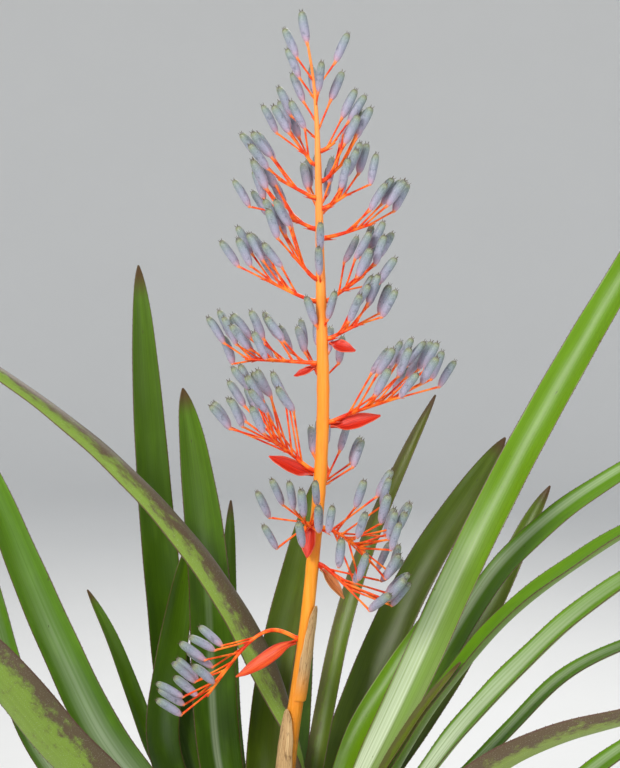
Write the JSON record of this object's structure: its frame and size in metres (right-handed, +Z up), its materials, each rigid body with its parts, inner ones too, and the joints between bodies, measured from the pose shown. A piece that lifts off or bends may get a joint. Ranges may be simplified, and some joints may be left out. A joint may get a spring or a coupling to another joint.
{
  "type": "potted bromeliad",
  "caption": "Potted bromeliad: a rosette of long strap leaves and a tall branched flower stalk with orange branches and grey-lavender buds, in a plain terracotta pot.",
  "frame": {"origin": "centre of the pot's flat base, on the surface that the pot stands on", "axes": "+Z up, along the pot's axis; +X to the right and +Y away from the viewer, as the flower stalk is seen from its front"},
  "size_m": [0.7249, 0.6757, 1.0298],
  "materials": {
    "terracotta": "matte fired clay, slightly chalky",
    "potting_mix": "coarse dark bark and peat",
    "crown": "matte plant tissue",
    "flower_stalk": "smooth waxy orange",
    "leaf": "glossy strap leaf with a pale waxy bloom towards its foot",
    "flower_branch": "waxy orange-red pedicels with grey-lavender buds",
    "bract": "thin satin red bract",
    "dry_sheath": "dry papery tan"
  },
  "bodies": {
    "root": {"pot": "terracotta", "potting_mix": "potting_mix", "crown": "crown", "flower_stalk": "flower_stalk", "leaf_arching": "leaf", "leaf_behind_stalk": "leaf", "leaf_slender_right": "leaf", "leaf_bright_right": "leaf", "leaf_pale_left": "leaf", "leaf_striped_back": "leaf", "leaf_small_right": "leaf", "leaf_low_right": "leaf", "leaf_leaning_left": "leaf", "leaf_two_tone_right": "leaf", "leaf_short_back": "leaf", "leaf_broad_behind": "leaf", "leaf_purple_edge_left": "leaf", "leaf_tall_back": "leaf", "leaf_upper_right": "leaf", "leaf_front_short": "leaf", "leaf_white_right": "leaf", "leaf_edge_left": "leaf", "leaf_dark_right": "leaf", "leaf_dark_left": "leaf", "leaf_under_right": "leaf", "leaf_front_left": "leaf", "leaf_foreground": "leaf", "leaf_front_right": "leaf", "leaf_corner_right": "leaf", "leaf_back": "leaf", "branch_front": "flower_branch", "branch_left_arched": "flower_branch", "branch_right_drooping": "flower_branch", "branch_left_great": "flower_branch", "branch_right_great": "flower_branch", "branch_left_level": "flower_branch", "branch_right_bracted": "flower_branch", "branch_right_wide": "flower_branch", "branch_left_wide": "flower_branch", "branch_right_slim": "flower_branch", "branch_left_upper": "flower_branch", "branch_left_high": "flower_branch", "branch_right_high": "flower_branch", "branch_left_top": "flower_branch", "branch_right_top": "flower_branch", "branch_back_high": "flower_branch", "branch_back_middle": "flower_branch", "branch_back_low": "flower_branch", "branch_front_left": "flower_branch", "branch_left_inner": "flower_branch", "branch_right_middle": "flower_branch", "bract_front": "bract", "bract_left_folded": "bract", "bract_withered": "bract", "bract_left_great": "bract", "bract_right_great": "bract", "bract_right_middle": "bract", "bract_left_middle": "bract", "sheath_lower": "dry_sheath", "sheath_upper": "dry_sheath"}
  },
  "joints": []
}
